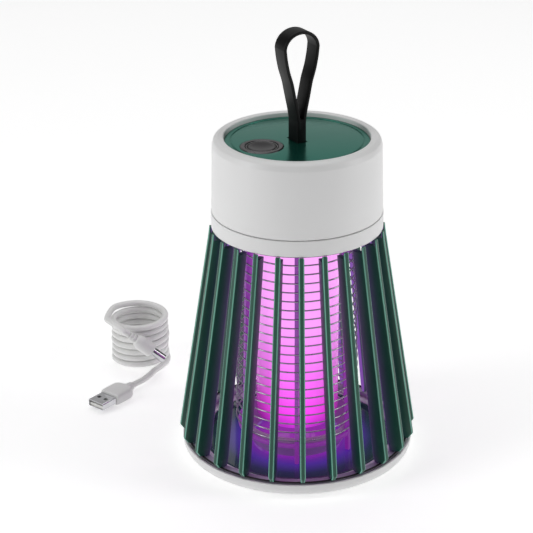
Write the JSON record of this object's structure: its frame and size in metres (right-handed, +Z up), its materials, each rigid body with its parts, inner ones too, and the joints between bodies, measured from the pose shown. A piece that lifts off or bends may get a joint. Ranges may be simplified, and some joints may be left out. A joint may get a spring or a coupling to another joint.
{
  "type": "electric bug zapper",
  "caption": "Rechargeable lantern bug zapper: white base and head, green fins round a lit wire grid, carry strap, push button and coiled charging cable.",
  "frame": {"origin": "on the ground, on the axis of the round body", "axes": "+Z up along the body's axis, -Y to the front, +X to the right seen from the front"},
  "size_m": [0.1886, 0.1921, 0.2435],
  "materials": {
    "white_plastic": "fine satin moulded white",
    "fin_green": "satin-gloss dark green moulding, lighter along its edges",
    "tray_green": "glossy dark green moulding",
    "panel_green": "satin green lacquer with a fine grain",
    "black_rubber": "soft matt black rubber",
    "dark_metal": "dark anodised ring",
    "light_ring": "translucent diffuser",
    "dark_plastic": "fine matt black",
    "grey_plastic": "translucent grey moulding",
    "grid_steel": "bright drawn wire",
    "lamp_plastic": "translucent tube, lit magenta",
    "circuit_board": "solder-masked board",
    "cell_wrap": "shrink-wrapped film",
    "cable_white": "soft white cable jacket",
    "plug_metal": "plated steel"
  },
  "bodies": {
    "base": {"base_shell": "white_plastic", "insect_tray": "tray_green", "seal_ring": "black_rubber", "foot_ring": "black_rubber", "cable_coil": "cable_white", "cable_lead_dc": "cable_white", "cable_lead_usb": "cable_white", "dc_plug_body": "cable_white", "dc_plug_barrel": "plug_metal", "usb_plug_body": "cable_white", "usb_plug_shell": "plug_metal"},
    "cage": {"fin_01": "fin_green", "fin_02": "fin_green", "fin_03": "fin_green", "fin_04": "fin_green", "fin_05": "fin_green", "fin_06": "fin_green", "fin_07": "fin_green", "fin_08": "fin_green", "fin_09": "fin_green", "fin_10": "fin_green", "fin_11": "fin_green", "fin_12": "fin_green", "fin_13": "fin_green", "fin_14": "fin_green", "fin_15": "fin_green", "fin_16": "fin_green", "fin_17": "fin_green", "fin_18": "fin_green", "fin_19": "fin_green", "fin_20": "fin_green", "fin_21": "fin_green", "fin_22": "fin_green", "fin_23": "fin_green", "fin_24": "fin_green", "cage_low_ring": "fin_green", "cage_top_ring": "fin_green", "collar": "white_plastic"},
    "head": {"cap_shell": "white_plastic", "head_floor": "white_plastic", "top_panel": "panel_green", "button_bezel": "dark_metal", "button_light_ring": "light_ring", "power_switch": "dark_plastic", "strap_anchor": "dark_plastic", "control_board": "circuit_board", "battery_cell": "cell_wrap", "hv_transformer": "dark_plastic", "hv_capacitor": "cell_wrap", "dc_jack": "dark_plastic", "grid_frame": "grey_plastic", "grid_wires_a": "grid_steel", "grid_wires_b": "grid_steel", "grid_bowl": "grey_plastic", "lamp_tube": "lamp_plastic", "lamp_clamp": "white_plastic", "led_board": "circuit_board"},
    "button": {"power_button": "dark_plastic"},
    "strap": {"carry_strap": "black_rubber"}
  },
  "joints": [
    {"name": "base_twist", "type": "hinge", "parent": "base", "child": "cage", "pos_m": [0, 0, 0.008], "axis": [0, 0, 1], "range_deg": [0, 20]},
    {"name": "head_lift", "type": "slide", "parent": "cage", "child": "head", "axis": [0, 0, 1], "range_m": [0, 0.15]},
    {"name": "button_press", "type": "slide", "parent": "head", "child": "button", "axis": [0, 0, -1], "range_m": [0, 0.0008], "stiffness_N_per_m": 2000},
    {"name": "strap_swing", "type": "hinge", "parent": "head", "child": "strap", "pos_m": [0, 0, 0.1854], "axis": [-0.4648, 0.8854, 0], "range_deg": [-75, 75], "stiffness_Nm_per_rad": 0.02}
  ]
}
